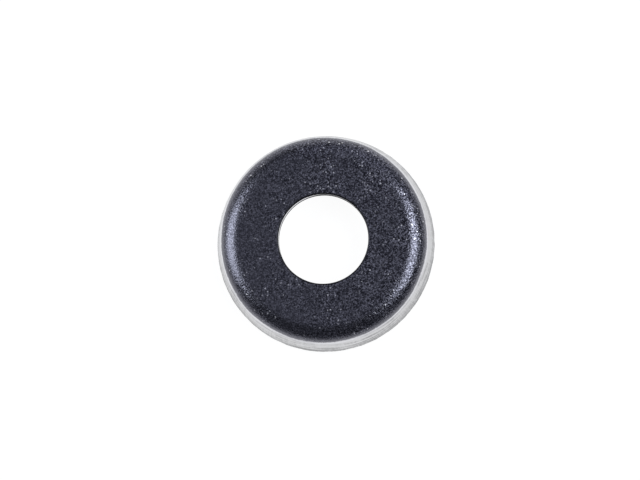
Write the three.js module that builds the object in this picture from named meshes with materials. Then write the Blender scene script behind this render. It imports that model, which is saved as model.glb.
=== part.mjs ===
// Sealing washer that sits under the head of a valve cover bolt.
// One piece of sheet metal, drawn into a shallow cup that opens downwards: a flat top with the
// bolt hole pierced through it, a round shoulder, and a short skirt that ends in a trimmed foot.
// The foot stands on z = 0, the bolt's axis is +Z, and the foot's centre is the origin.

import * as THREE from 'three';

// Driving dimensions, in millimetres
const OUTER_DIAMETER = 20.0; // across the foot of the skirt
const HOLE_DIAMETER = 8.2;
const HEIGHT = 3.3; // from the foot to the top face
const SHEET = 1.0; // thickness of the sheet, the same everywhere
const SHOULDER_RADIUS = 2.2; // outside of the bend between top and skirt
const HOLE_ROLL = 0.16; // round lip that piercing leaves at the top of the hole
const HOLE_BREAK = 0.08; // broken edge at the bottom of the hole
const TRIM_ROUND = 0.18; // both edges of the trimmed foot
const SKIRT_DRAFT = THREE.MathUtils.degToRad(10); // how far the skirt opens towards its foot

// Fineness of the round stretches
const TURN_STEPS = 96;
const SHOULDER_STEPS = 12;
const BEND_STEPS = 7;
const EDGE_STEPS = 3;

const QUARTER = Math.PI / 2;
const HALF = Math.PI;

// The skirt's outer face leans in by the draft and touches the round of the foot's outer edge.
// skirtRadius gives the distance from the axis, at height z, of a line `depth` inside that face.
const footOuter = new THREE.Vector2(OUTER_DIAMETER / 2 - TRIM_ROUND, TRIM_ROUND);
const lean = new THREE.Vector2(Math.cos(SKIRT_DRAFT), Math.sin(SKIRT_DRAFT));
const skirtReach = footOuter.dot(lean) + TRIM_ROUND;
const skirtRadius = (z, depth) => (skirtReach - depth - z * lean.y) / lean.x;

const bendHeight = HEIGHT - SHOULDER_RADIUS;
const bendCentre = new THREE.Vector2(skirtRadius(bendHeight, SHOULDER_RADIUS), bendHeight);

// Points of an arc in the section plane, x outwards from the axis and y upwards
function arc(centre, radius, from, to, steps) {
  return Array.from({ length: steps + 1 }, (_, i) => {
    const angle = THREE.MathUtils.lerp(from, to, i / steps);
    return new THREE.Vector2(centre.x + radius * Math.cos(angle), centre.y + radius * Math.sin(angle));
  });
}

// The pierced wall, from the top face down to the underside of the top
function holeEdge() {
  const radius = HOLE_DIAMETER / 2;
  const roll = new THREE.Vector2(radius + HOLE_ROLL, HEIGHT - HOLE_ROLL);
  const lower = new THREE.Vector2(radius + HOLE_BREAK, HEIGHT - SHEET + HOLE_BREAK);
  return [
    ...arc(roll, HOLE_ROLL, QUARTER, HALF, EDGE_STEPS),
    ...arc(lower, HOLE_BREAK, HALF, HALF + QUARTER, EDGE_STEPS),
  ];
}

// The inside of the bend, which shares its centre with the shoulder
function innerBend() {
  return arc(bendCentre, SHOULDER_RADIUS - SHEET, QUARTER, SKIRT_DRAFT, BEND_STEPS);
}

// The trimmed foot: a flat ring between two small rounds
function foot() {
  const footInner = new THREE.Vector2(skirtRadius(TRIM_ROUND, SHEET - TRIM_ROUND), TRIM_ROUND);
  return [
    ...arc(footInner, TRIM_ROUND, HALF + SKIRT_DRAFT, HALF + QUARTER, EDGE_STEPS),
    ...arc(footOuter, TRIM_ROUND, -QUARTER, SKIRT_DRAFT, EDGE_STEPS),
  ];
}

function shoulder() {
  return arc(bendCentre, SHOULDER_RADIUS, SKIRT_DRAFT, QUARTER, SHOULDER_STEPS);
}

// The whole section is one closed outline, turned once round the axis
function sealRing() {
  const outline = [...holeEdge(), ...innerBend(), ...foot(), ...shoulder()];
  outline.push(outline[0].clone());
  const geometry = new THREE.LatheGeometry(outline, TURN_STEPS);
  geometry.rotateX(QUARTER); // the lathe turns about its own Y, and the bolt's axis is Z
  const darkCoat = new THREE.MeshStandardMaterial({ color: 0x3c3c48, roughness: 0.45, metalness: 0.3 });
  const mesh = new THREE.Mesh(geometry, darkCoat);
  mesh.name = 'seal_ring';
  return mesh;
}

const group = new THREE.Group();
group.add(sealRing());

export default group;
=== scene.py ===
# Looks of a valve cover bolt seal: a shallow cup of pressed sheet metal that stands on its skirt.
# A dark grained coat lies on its top and shoulder. The skirt and the wall of the hole are bare.

import math

import bpy
from mathutils import Matrix, Vector, noise


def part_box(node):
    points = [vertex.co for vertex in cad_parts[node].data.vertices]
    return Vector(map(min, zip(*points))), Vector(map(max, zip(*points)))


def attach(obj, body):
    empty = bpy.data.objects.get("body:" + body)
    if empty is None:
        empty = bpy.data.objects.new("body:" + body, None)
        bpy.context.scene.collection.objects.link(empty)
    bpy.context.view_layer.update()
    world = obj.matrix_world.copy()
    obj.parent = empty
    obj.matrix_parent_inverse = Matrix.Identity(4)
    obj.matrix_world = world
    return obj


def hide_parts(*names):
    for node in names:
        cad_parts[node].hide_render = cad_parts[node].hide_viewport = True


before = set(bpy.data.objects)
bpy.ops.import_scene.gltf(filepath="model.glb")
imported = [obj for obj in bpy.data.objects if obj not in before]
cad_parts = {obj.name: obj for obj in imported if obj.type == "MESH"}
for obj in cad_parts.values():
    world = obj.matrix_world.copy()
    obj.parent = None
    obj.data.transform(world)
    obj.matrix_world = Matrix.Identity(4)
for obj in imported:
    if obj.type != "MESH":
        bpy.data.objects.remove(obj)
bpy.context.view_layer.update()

SCENE = bpy.context.scene
NODE = "seal_ring"
MM = 0.001

# Sizes of the section. The first three come from the frame, and the rest repeat the solid's.
low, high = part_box(NODE)
OUTER_RADIUS = (high.x - low.x) / 2
HEIGHT = high.z
HOLE_RADIUS = min(v.co.xy.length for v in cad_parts[NODE].data.vertices)
SHEET = 1.0 * MM
SHOULDER_RADIUS = 2.2 * MM
HOLE_ROLL = 0.16 * MM
HOLE_BREAK = 0.08 * MM
TRIM_ROUND = 0.18 * MM
SKIRT_DRAFT = 10.0  # degrees

# Where the coat ends: on the shoulder, by the lean of the surface's normal above level, and on
# the round lip of the hole, both in degrees. FAR is a distance that counts as out of reach.
COAT_END = 36.0
LIP_END = 178.0
FAR = 3.0 * MM

# The coat reaches a little further down the shoulder on the side that this azimuth names
COAT_SAG = 0.26 * MM
COAT_SAG_SIDE = math.radians(112)

# The trimmed foot isn't quite even: how far it strays, up to which height, and the noise's scale
TRIM_WAVE = 0.03 * MM
TRIM_WAVE_REACH = 0.7 * MM
TRIM_WAVE_SCALE = 16

# Steps of the whole turn, and of each arc and each straight line of the section
TURN_STEPS = 512
STEPS = {
    "coated shoulder": 26, "top": 18, "coated lip": 6, "bare lip": 3, "hole": 8, "broken edge": 4,
    "underside": 10, "inner bend": 12, "inner skirt": 5, "inner trim": 5, "foot": 4,
    "outer trim": 6, "outer skirt": 7, "bare shoulder": 22,
}


# The ring's section and its mesh

def skirt_radius(z, depth):
    """Distance from the axis, at height z, of a line that lies `depth` inside the skirt's outer
    face. That face touches the round of the foot's outer edge."""
    lean = math.radians(SKIRT_DRAFT)
    reach = (OUTER_RADIUS - TRIM_ROUND) * math.cos(lean) + TRIM_ROUND * math.sin(lean) + TRIM_ROUND
    return (reach - depth - z * math.sin(lean)) / math.cos(lean)


def arc(centre, radius, start, end, name):
    """Points (r, z) of an arc of the section, with both ends, angles in degrees."""
    steps = STEPS[name]
    angles = [math.radians(start + (end - start) * i / steps) for i in range(steps + 1)]
    return [(centre[0] + radius * math.cos(a), centre[1] + radius * math.sin(a)) for a in angles]


def between(a, b, name):
    """Points that part a straight line of the section, from a to b, without its ends."""
    shares = [i / STEPS[name] for i in range(1, STEPS[name])]
    return [(a[0] + (b[0] - a[0]) * t, a[1] + (b[1] - a[1]) * t) for t in shares]


def section():
    """The closed outline in two runs of points: the coated one, from the shoulder over the top to
    the hole's lip, and the bare one, from there down the hole and under the top to the shoulder."""
    bend_z = HEIGHT - SHOULDER_RADIUS
    bend = (skirt_radius(bend_z, SHOULDER_RADIUS), bend_z)
    lip = (HOLE_RADIUS + HOLE_ROLL, HEIGHT - HOLE_ROLL)
    under_lip = (HOLE_RADIUS + HOLE_BREAK, HEIGHT - SHEET + HOLE_BREAK)
    foot_inside = (skirt_radius(TRIM_ROUND, SHEET - TRIM_ROUND), TRIM_ROUND)
    foot_outside = (OUTER_RADIUS - TRIM_ROUND, TRIM_ROUND)

    shoulder = arc(bend, SHOULDER_RADIUS, COAT_END, 90, "coated shoulder")
    lip_top = arc(lip, HOLE_ROLL, 90, LIP_END, "coated lip")
    coated = [*shoulder, *between(shoulder[-1], lip_top[0], "top"), *lip_top]

    # The two runs share no point. Each further arc comes after the straight line that leads to it.
    bare = arc(lip, HOLE_ROLL, LIP_END, 180, "bare lip")[1:]
    inner_radius = SHOULDER_RADIUS - SHEET
    for line, further in (
        ("hole", arc(under_lip, HOLE_BREAK, 180, 270, "broken edge")),
        ("underside", arc(bend, inner_radius, 90, SKIRT_DRAFT, "inner bend")),
        ("inner skirt", arc(foot_inside, TRIM_ROUND, 180 + SKIRT_DRAFT, 270, "inner trim")),
        ("foot", arc(foot_outside, TRIM_ROUND, -90, SKIRT_DRAFT, "outer trim")),
        ("outer skirt", arc(bend, SHOULDER_RADIUS, SKIRT_DRAFT, COAT_END, "bare shoulder")[:-1]),
    ):
        bare += between(bare[-1], further[0], line) + further
    return coated, bare


def coat_margins(coated, bare):
    """For each point, how far along the outline it lies from the coat's end on the shoulder and
    from its end at the hole: positive on the coat, negative on bare metal, FAR beyond reach."""
    points = coated + bare
    lengths = [0.0]
    for a, b in zip(points, points[1:] + points[:1]):
        lengths.append(lengths[-1] + math.dist(a, b))
    total = lengths.pop()
    coat = lengths[len(coated) - 1]
    margins = []
    for s in lengths:
        if s <= coat:
            margins.append((min(s, FAR), min(coat - s, FAR)))
        elif s - coat < total - s:
            margins.append((FAR, coat - s))
        else:
            margins.append((s - total, FAR))
    return margins


def make_ring():
    """The whole ring as one closed mesh, with the coat's margins on its points in millimetres."""
    coated, bare = section()
    points = coated + bare
    margins = coat_margins(coated, bare)
    vertices, to_shoulder, to_hole = [], [], []
    for step in range(TURN_STEPS):
        angle = 2 * math.pi * step / TURN_STEPS
        around = Vector((math.cos(angle), math.sin(angle), 0))
        wave = TRIM_WAVE * noise.noise(around * TRIM_WAVE_SCALE)
        sag = COAT_SAG * max(0.0, math.cos(angle - COAT_SAG_SIDE)) ** 2
        for (r, z), (shoulder, hole) in zip(points, margins):
            reach = max(0.0, 1 - z / TRIM_WAVE_REACH)
            out = r + wave * reach if r > skirt_radius(z, SHEET / 2) else r
            vertices.append((out * around.x, out * around.y, z))
            to_shoulder.append((shoulder + sag) / MM)
            to_hole.append(hole / MM)
    count = len(points)
    faces = []
    for step in range(TURN_STEPS):
        here = step * count
        there = (step + 1) % TURN_STEPS * count
        for i in range(count):
            j = (i + 1) % count
            faces.append((here + i, there + i, there + j, here + j))
    mesh = bpy.data.meshes.new("ring")
    mesh.from_pydata(vertices, [], faces)
    mesh.attributes.new("to_shoulder", "FLOAT", "POINT").data.foreach_set("value", to_shoulder)
    mesh.attributes.new("to_hole", "FLOAT", "POINT").data.foreach_set("value", to_hole)
    mesh.shade_smooth()
    made = bpy.data.objects.new("ring", mesh)
    SCENE.collection.objects.link(made)
    return made


# Nodes

class Graph:
    """The nodes of a material or a world. A value given to a call is a number, a colour, a vector
    or a socket."""

    def __init__(self, owner):
        owner.use_nodes = True
        self.owner = owner
        self.nodes = owner.node_tree.nodes
        self.links = owner.node_tree.links
        self.nodes.clear()

    def put(self, socket, value):
        if isinstance(value, bpy.types.NodeSocket):
            self.links.new(value, socket)
        else:
            socket.default_value = value

    def node(self, kind, inputs, **settings):
        made = self.nodes.new("ShaderNode" + kind)
        for name, value in settings.items():
            setattr(made, name, value)
        for key, value in inputs.items():
            self.put(made.inputs[key], value)
        return made

    def finish(self, kind, shader):
        """Hands the shader to the output, and gives back the finished material or world."""
        self.node("Output" + kind, {"Surface": shader.outputs[0]})
        return self.owner

    def math(self, operation, *values):
        return self.node("Math", dict(enumerate(values)), operation=operation).outputs[0]

    def vector(self, operation, *values):
        return self.node("VectorMath", dict(enumerate(values)), operation=operation).outputs[0]

    def dot(self, a, b):
        return self.node("VectorMath", {0: a, 1: b}, operation="DOT_PRODUCT").outputs["Value"]

    def length(self, vector):
        return self.node("VectorMath", {0: vector}, operation="LENGTH").outputs["Value"]

    def up(self, vector):
        """The upward part of a vector."""
        return self.node("SeparateXYZ", {0: vector}).outputs["Z"]

    def noise(self, vector, scale, detail, roughness):
        inputs = {"Vector": vector, "Scale": scale, "Detail": detail, "Roughness": roughness}
        return self.node("TexNoise", inputs).outputs["Fac"]

    def swing(self, vector, texture, reach):
        """Noise that swings to both sides of 0. It spans `reach` from its least to its most."""
        about_zero = self.math("SUBTRACT", self.noise(vector, *texture), 0.5)
        return self.math("MULTIPLY", about_zero, reach)

    def ramp(self, value, start, end, low=0.0, high=1.0):
        """A smooth step from low at start to high at end."""
        inputs = {"Value": value, "From Min": start, "From Max": end, "To Min": low, "To Max": high}
        return self.node("MapRange", inputs, interpolation_type="SMOOTHSTEP").outputs["Result"]

    def blend(self, factor, a, b):
        """A number from a to b."""
        return self.node("Mix", {0: factor, 2: a, 3: b}, data_type="FLOAT").outputs[0]

    def colour(self, factor, a, b):
        """A colour from a to b."""
        return self.node("Mix", {0: factor, 6: a, 7: b}, data_type="RGBA").outputs[2]

    def direction(self, factor, a, b):
        """A direction from a to b."""
        return self.node("Mix", {0: factor, 4: a, 5: b}, data_type="VECTOR").outputs[1]

    def attribute(self, name):
        return self.node("Attribute", {}, attribute_name=name).outputs["Fac"]

    def bump(self, height, distance):
        return self.node("Bump", {"Height": height, "Distance": distance}).outputs["Normal"]

    def seen(self):
        """1 for what the eye, a reflection or a view through glass meets, and 0 for what only
        lights the ring."""
        path = self.node("LightPath", {})
        seen = path.outputs["Is Camera Ray"]
        for ray in ("Is Glossy Ray", "Is Transmission Ray"):
            seen = self.math("MAXIMUM", seen, path.outputs[ray])
        return seen


# The ring's material. Its distances are in millimetres, but for the depths of its relief. A noise
# has a scale, a detail and a roughness. A ramp has a start and an end and, where it doesn't go
# from 0 to 1, its values at both.

RIM = OUTER_RADIUS / MM

# The coat's end: how far it swings slowly and frays finely, and how softly it stops. The fray is
# weaker at the hole. The belt is how far from its end on the shoulder the coat is greyed by a
# painted reflection of the table.
END_SWING, END_SWING_NOISE = 0.26, (0.35, 4.0, 0.6)
END_FRAY, END_FRAY_NOISE = 0.16, (5.0, 3.0, 0.5)
HOLE_FRAY_SHARE = 0.5
SHOULDER_EDGE = (-0.06, 0.06)
HOLE_EDGE = (-0.03, 0.03)
REFLECTION_BELT = 0.72
REFLECTION_POWER = 1.4

# The coat's grain, from dark to light. It is stronger in patches, and towards the right lamp's side
# as painted glints.
COAT_DARK = (0.019, 0.019, 0.027, 1)
COAT_LIGHT = (0.268, 0.270, 0.326, 1)
GRAIN_NOISE = (7.4, 2.5, 0.70)
GRAIN_RANGE = (0.25, 0.78)
GRAIN_POWER = 1.6
GRAIN_MIDDLE = 0.30
PATCH_NOISE = (0.45, 4.0, 0.6)
PATCH_EDGE = (0.38, 0.62)
PATCH_CONTRAST = (0.0, 1.0, 0.92, 1.45)
GLINT_SIDE = (0.94, 0.34, 0.0)
GLINT_SIDE_CONTRAST = (-8.0, 6.0, 0.66, 1.36)

# Its painted glints, pale specks: a few of the cells have one, more of them in those patches and on
# that side
COAT_GLINT = (0.90, 0.90, 0.94, 1)
GLINT_SCALE = 4.2
GLINT_EDGE = (0.38, 0.20)
GLINT_CHANCE = (0.70, 0.98)
PATCH_GLINTS = (0.0, 1.0, -0.19, 0.05)
SIDE_GLINTS = (-8.0, 6.0, -0.09, 0.03)

# Its other colours, the painted reflection in that belt and the painted shade on the hole's lip,
# and its sheen and relief
COAT_PAINTED_REFLECTION = (0.198, 0.198, 0.222, 1)
COAT_LIP_SHADE = (0.020, 0.020, 0.024, 1)
LIP_SHADE_BELT = (0.26, 0.19)
COAT_METALLIC = 0.92
COAT_ROUGHNESS = (0.3, 0.7, 0.20, 0.29)
PEBBLE_NOISE = (6.8, 1.5, 0.6)
PEBBLE_DEPTH = 0.023 * MM

# The marks that drawing left on the bare metal: lines that run up the skirt and hardly change
# with height, and rings that run round it, close above one another
LINE_NOISE = (4.6, 3.0, 0.7)
LINE_STRETCH = (0, 0, 0.15)
RING_NOISE = (1.3, 3.5, 0.68)
RING_STRETCH = (0.22, 0.22, 3.4)
LINE_SHARE, RING_SHARE = 0.22, 0.78
RING_RELIEF = 0.6
SCORE_DEPTH = 0.012 * MM

# The bare metal, dull or bright by those marks, and darker towards the foot by painted shade.
# Right below the coat's end a painted highlight brightens it, and the cut wall of the hole is
# polished.
METAL = (0.63, 0.63, 0.64, 1)
METAL_DULL = (0.33, 0.33, 0.335, 1)
METAL_POLISH_AND_HIGHLIGHT = (0.76, 0.76, 0.79, 1)
METAL_ROUGHNESS = (0.0, 1.0, 0.46, 0.34)
FOOT_SHADE_BY_HEIGHT = (0.3, 1.9, -0.05, 0.06)
SHINE_EDGE = (0.39, 0.61)
HIGHLIGHT_BELT = (-0.34, -0.14)
HIGHLIGHT_SHARE = 0.75

# Painted contact shadow along the foot's edge: its height, how much higher its ticks reach and for
# which lines, where it starts to fade, and how dark it is
FOOT_CONTACT_SHADE = (0.09, 0.09, 0.09, 1)
CONTACT_SHADE_BELT = 0.24
SHADE_TICK_HEIGHT = CONTACT_SHADE_BELT * 1.15
SHADE_TICK_EDGE = (0.56, 0.34)
CONTACT_SHADE_EDGE = (CONTACT_SHADE_BELT, CONTACT_SHADE_BELT * 0.3)
CONTACT_SHADE_SHARE = 0.60

# The hole's wall, by its distance from the axis. It is cut down to some depth below the top, more
# on one side than on the other, and torn and rough further down, where it is painted near black
# as painted shade.
TORN_METAL_AND_SHADE = (0.015, 0.015, 0.015, 1)
WALL_END = HOLE_RADIUS / MM + 0.15
WALL_EDGE = (WALL_END + 0.05, WALL_END)
CUT_SIDE = (-0.87, 0.50, 0.0)
CUT_DEPTH = (RIM * 0.5, RIM * 0.9, 0.18 * SHEET / MM, 0.50 * SHEET / MM)
TORN_EDGE = (0.0, 0.08)
TORN_ROUGHNESS = 0.95
METALLIC_BY_TORN = (0.0, 1.0, 1.0, 0.0)


def coat_cover(g, place, around):
    """How much of the surface the coat covers, and how far a painted reflection greys it near its
    end on the shoulder. Its end is a little uneven."""
    slow = g.swing(around, END_SWING_NOISE, END_SWING)
    fray = g.swing(place, END_FRAY_NOISE, END_FRAY)
    margin = g.math("ADD", g.math("ADD", g.attribute("to_shoulder"), slow), fray)
    at_shoulder = g.ramp(margin, *SHOULDER_EDGE)
    hole_margin = g.math("ADD", g.attribute("to_hole"), g.math("MULTIPLY", fray, HOLE_FRAY_SHARE))
    at_hole = g.ramp(hole_margin, *HOLE_EDGE)
    # Painted reflection of the table: a grey belt on the coat above its end on the shoulder
    painted_reflection = g.ramp(margin, REFLECTION_BELT, 0.0)
    return g.math("MULTIPLY", at_shoulder, at_hole), painted_reflection


def coat_look(g, place, grain, painted_reflection):
    """Colour of the coat: finely grained, with painted glints as a few pale specks, painted shade
    on the lip at the hole, and greyer near its end by a painted reflection."""
    patch = g.ramp(g.noise(place, *PATCH_NOISE), *PATCH_EDGE)
    # Painted glints: the grain is stronger towards the right lamp's side
    glint_side = g.dot(place, GLINT_SIDE)
    contrast = g.math("MULTIPLY", g.ramp(patch, *PATCH_CONTRAST), g.ramp(glint_side, *GLINT_SIDE_CONTRAST))
    shade = g.math("POWER", g.ramp(grain, *GRAIN_RANGE), GRAIN_POWER)
    off_middle = g.math("SUBTRACT", shade, GRAIN_MIDDLE)
    shade = g.math("MULTIPLY_ADD", off_middle, contrast, GRAIN_MIDDLE)
    colour = g.colour(shade, COAT_DARK, COAT_LIGHT)

    # Painted glints: pale specks in a few cells stand in for the lamps' highlights on the grain
    cells = g.node("TexVoronoi", {"Vector": place, "Scale": GLINT_SCALE})
    chance = g.node("SeparateColor", {0: cells.outputs["Color"]}).outputs[0]
    favour = g.math("ADD", g.ramp(patch, *PATCH_GLINTS), g.ramp(glint_side, *SIDE_GLINTS))
    few = g.ramp(g.math("ADD", chance, favour), *GLINT_CHANCE)
    painted_glint = g.math("MULTIPLY", g.ramp(cells.outputs["Distance"], *GLINT_EDGE), few)
    colour = g.colour(painted_glint, colour, COAT_GLINT)

    # Painted shade: the coat darkens on the round lip where it turns down into the hole
    colour = g.colour(g.ramp(g.attribute("to_hole"), *LIP_SHADE_BELT), colour, COAT_LIP_SHADE)
    # The painted reflection greys the coat in that belt
    return g.colour(g.math("POWER", painted_reflection, REFLECTION_POWER), colour, COAT_PAINTED_REFLECTION)


def metal_look(g, place, around, lines, rings, radius):
    """Colour of the bare metal with its painted shade and painted highlight, how much it shines,
    and how far it is torn, where it is painted near black as painted shade.
    """
    height = g.up(place)
    upright, level = g.math("MULTIPLY", lines, LINE_SHARE), g.math("MULTIPLY", rings, RING_SHARE)
    # Painted shade: the metal is darker towards the foot
    painted_foot_shade = g.ramp(height, *FOOT_SHADE_BY_HEIGHT)
    marks_and_foot_shade = g.ramp(g.math("ADD", g.math("ADD", upright, level), painted_foot_shade), *SHINE_EDGE)
    colour = g.colour(marks_and_foot_shade, METAL_DULL, METAL)
    # Painted highlight: a bright belt right below the coat's end on the shoulder
    painted_highlight = g.math("MULTIPLY", g.ramp(g.attribute("to_shoulder"), *HIGHLIGHT_BELT), HIGHLIGHT_SHARE)
    colour = g.colour(painted_highlight, colour, METAL_POLISH_AND_HIGHLIGHT)

    # Painted contact shadow: a dark band along the foot, with ticks up along some lines
    shade_tick = g.math("MULTIPLY", g.ramp(lines, *SHADE_TICK_EDGE), SHADE_TICK_HEIGHT)
    trim = g.ramp(g.math("SUBTRACT", height, shade_tick), *CONTACT_SHADE_EDGE)
    colour = g.colour(g.math("MULTIPLY", trim, CONTACT_SHADE_SHARE), colour, FOOT_CONTACT_SHADE)

    at_wall = g.ramp(radius, *WALL_EDGE)
    cut = g.ramp(g.dot(around, CUT_SIDE), *CUT_DEPTH)
    below_cut = g.math("SUBTRACT", g.math("SUBTRACT", HEIGHT / MM, height), cut)
    torn_and_shade = g.math("MULTIPLY", at_wall, g.ramp(below_cut, *TORN_EDGE))
    colour = g.colour(at_wall, colour, METAL_POLISH_AND_HIGHLIGHT)
    # The torn part: rough torn metal, painted near black as painted shade
    return g.colour(torn_and_shade, colour, TORN_METAL_AND_SHADE), marks_and_foot_shade, torn_and_shade


def seal_material():
    """Dark grained coat, greyed near its end on the shoulder by a painted reflection, and drawn
    bare metal beyond its ends.
    """
    g = Graph(bpy.data.materials.new("coated_sheet"))
    place = g.vector("MULTIPLY", g.node("TexCoord", {}).outputs["Object"], (1 / MM,) * 3)
    flat = g.vector("MULTIPLY", place, (1, 1, 0))
    around = g.vector("MULTIPLY", g.vector("NORMALIZE", flat), (RIM,) * 3)

    grain = g.noise(place, *GRAIN_NOISE)
    upright = g.vector("MULTIPLY", place, LINE_STRETCH)
    lines = g.noise(g.vector("ADD", around, upright), *LINE_NOISE)
    rings = g.noise(g.vector("MULTIPLY", place, RING_STRETCH), *RING_NOISE)

    coat, painted_reflection = coat_cover(g, place, around)
    coat_colour = coat_look(g, place, grain, painted_reflection)
    metal_colour, marks_and_foot_shade, torn_and_shade = metal_look(g, place, around, lines, rings, g.length(flat))

    coat_relief = g.bump(g.noise(place, *PEBBLE_NOISE), PEBBLE_DEPTH)
    metal_relief = g.bump(g.math("ADD", lines, g.math("MULTIPLY", rings, RING_RELIEF)), SCORE_DEPTH)
    normal = g.direction(coat, metal_relief, coat_relief)

    coat_roughness = g.ramp(grain, *COAT_ROUGHNESS)
    metal_roughness = g.blend(torn_and_shade, g.ramp(marks_and_foot_shade, *METAL_ROUGHNESS), TORN_ROUGHNESS)
    bare_metallic = g.ramp(torn_and_shade, *METALLIC_BY_TORN)
    shader = g.node("BsdfPrincipled", {
        "Base Color": g.colour(coat, metal_colour, coat_colour),
        "Metallic": g.blend(coat, bare_metallic, COAT_METALLIC),
        "Roughness": g.blend(coat, metal_roughness, coat_roughness),
        "Normal": normal,
    })
    return g.finish("Material", shader)


# Table, lamps, room and camera

# Half a side of the table in metres, its two whites, and the glow that only the eye meets: its
# strength and its share of what is seen. The rest of what is seen shows the ring's shadow.
TABLE_HALF = 1.5
TABLE_WHITE = (0.80, 0.80, 0.80, 1)
TABLE_PALE = (0.84, 0.84, 0.84, 1)
TABLE_NOISE = (900.0, 3.0, 0.5)
TABLE_GLOW = 1.12
TABLE_SHARE = 0.82

# Each lamp's name, the zenith and azimuth of its direction, the angles that it spans across and
# along, all in degrees, its radiance and its colour
LAMP_DISTANCE = 0.150
LAMP_TINT = (0.92, 0.96, 1.0)
ROOM_TINT = (0.84, 0.86, 1.0)
LAMPS = [
    ("right_lamp", 38, 6, 45, 32, 4.65, LAMP_TINT),
    ("left_lamp", 56, 172, 40, 38, 4.6, LAMP_TINT),
    ("ceiling", 22, 100, 78, 78, 0.235, ROOM_TINT),
    ("far_fill", 58, 62, 70, 50, 0.26, ROOM_TINT),
]

# The room's light, and its low pale wall, which is as bright as the far part of the table looks.
# The wall fades out between two values of the upward part of a direction of length 1.
ROOM_LEVEL = 0.12
WALL_LEVEL = 0.935
WALL_FADE = (0.02, 0.30, 1.0, 0.0)

# The photograph looks almost straight down, tilted towards its lower right. The foot's centre
# lies at the pixel FOOT_X, FOOT_Y of a 640 by 480 picture, at PIXELS_PER_MM at the table.
TILT = math.radians(9.25)
TILT_AZIMUTH = math.radians(-60)
CAMERA_DISTANCE = 0.250
FOOT_X, FOOT_Y = 325.9, 243.65
PICTURE_WIDTH, PICTURE_HEIGHT = 640, 480
PIXELS_PER_MM = 10.875
SENSOR_WIDTH = 36
CLIP_START, CLIP_END = 0.01, 10


def direction(zenith, azimuth):
    """The direction of length 1 at these angles, in radians."""
    level = math.sin(zenith)
    return Vector((level * math.cos(azimuth), level * math.sin(azimuth), math.cos(zenith)))


def table_material():
    """A matt white table. To the eye it glows up to white, and still shows the ring's shadow."""
    g = Graph(bpy.data.materials.new("table_top"))
    paper = g.noise(g.node("TexCoord", {}).outputs["Object"], *TABLE_NOISE)
    diffuse = g.node("BsdfDiffuse", {"Color": g.colour(paper, TABLE_WHITE, TABLE_PALE)})
    seen = g.seen()
    strength = g.math("MULTIPLY", seen, TABLE_GLOW)
    glow = g.node("Emission", {"Color": (1, 1, 1, 1), "Strength": strength})
    share = g.math("MULTIPLY", seen, TABLE_SHARE)
    mixed = g.node("MixShader", {0: share, 1: diffuse.outputs[0], 2: glow.outputs[0]})
    return g.finish("Material", mixed)


def make_table():
    signs = ((-1, -1), (1, -1), (1, 1), (-1, 1))
    corners = [(x * TABLE_HALF, y * TABLE_HALF, 0) for x, y in signs]
    mesh = bpy.data.meshes.new("table")
    mesh.from_pydata(corners, [], [(0, 1, 2, 3)])
    made = bpy.data.objects.new("table", mesh)
    SCENE.collection.objects.link(made)
    mesh.materials.append(table_material())


def make_lamp(name, zenith, azimuth, across, along, radiance, colour):
    """A soft box of ellipse shape that faces the ring from LAMP_DISTANCE. It spans `across` level
    and `along` towards the zenith."""
    towards = direction(math.radians(zenith), math.radians(azimuth))
    data = bpy.data.lights.new(name, "AREA")
    data.shape = "ELLIPSE"
    data.size = 2 * LAMP_DISTANCE * math.tan(math.radians(across / 2))
    data.size_y = 2 * LAMP_DISTANCE * math.tan(math.radians(along / 2))
    area = math.pi / 4 * data.size * data.size_y
    data.energy = radiance * math.pi * area
    data.color = colour
    lamp = bpy.data.objects.new(name, data)
    lamp.location = towards * LAMP_DISTANCE
    lamp.rotation_mode = "QUATERNION"
    lamp.rotation_quaternion = towards.to_track_quat("Z", "Y")
    SCENE.collection.objects.link(lamp)


def make_world():
    """A dim room. To the eye and in reflections it has a low pale wall."""
    g = Graph(bpy.data.worlds.new("room"))
    wall = g.ramp(g.up(g.node("TexCoord", {}).outputs["Generated"]), *WALL_FADE)
    share = g.math("MULTIPLY", g.seen(), wall)
    background = g.node("Background", {
        "Color": g.colour(share, (*ROOM_TINT, 1), (1, 1, 1, 1)),
        "Strength": g.blend(share, ROOM_LEVEL, WALL_LEVEL),
    })
    SCENE.world = g.finish("World", background)


def make_camera():
    """The photograph's camera. It is moved sideways, not turned, to bring the foot to its pixel."""
    back = direction(TILT, TILT_AZIMUTH)
    axis = Vector((0, 0, 1)).cross(back).normalized()
    turn = Matrix.Rotation(TILT, 4, axis)
    right = turn @ Vector((1, 0, 0))
    up = turn @ Vector((0, 1, 0))
    aside = (PICTURE_WIDTH / 2 - FOOT_X) / PIXELS_PER_MM * MM
    above = (FOOT_Y - PICTURE_HEIGHT / 2) / PIXELS_PER_MM * MM
    data = bpy.data.cameras.new("camera")
    data.sensor_fit = "HORIZONTAL"
    data.sensor_width = SENSOR_WIDTH
    data.lens = SENSOR_WIDTH * PIXELS_PER_MM * CAMERA_DISTANCE / MM / PICTURE_WIDTH
    data.clip_start = CLIP_START
    data.clip_end = CLIP_END
    camera = bpy.data.objects.new("camera", data)
    place = back * CAMERA_DISTANCE + right * aside + up * above
    camera.matrix_world = Matrix.Translation(place) @ turn
    SCENE.collection.objects.link(camera)
    SCENE.camera = camera


ring = make_ring()
ring.data.materials.append(seal_material())
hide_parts(NODE)
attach(ring, "root")

make_table()
for lamp_values in LAMPS:
    make_lamp(*lamp_values)
make_world()
make_camera()
SCENE.view_settings.view_transform = "Standard"
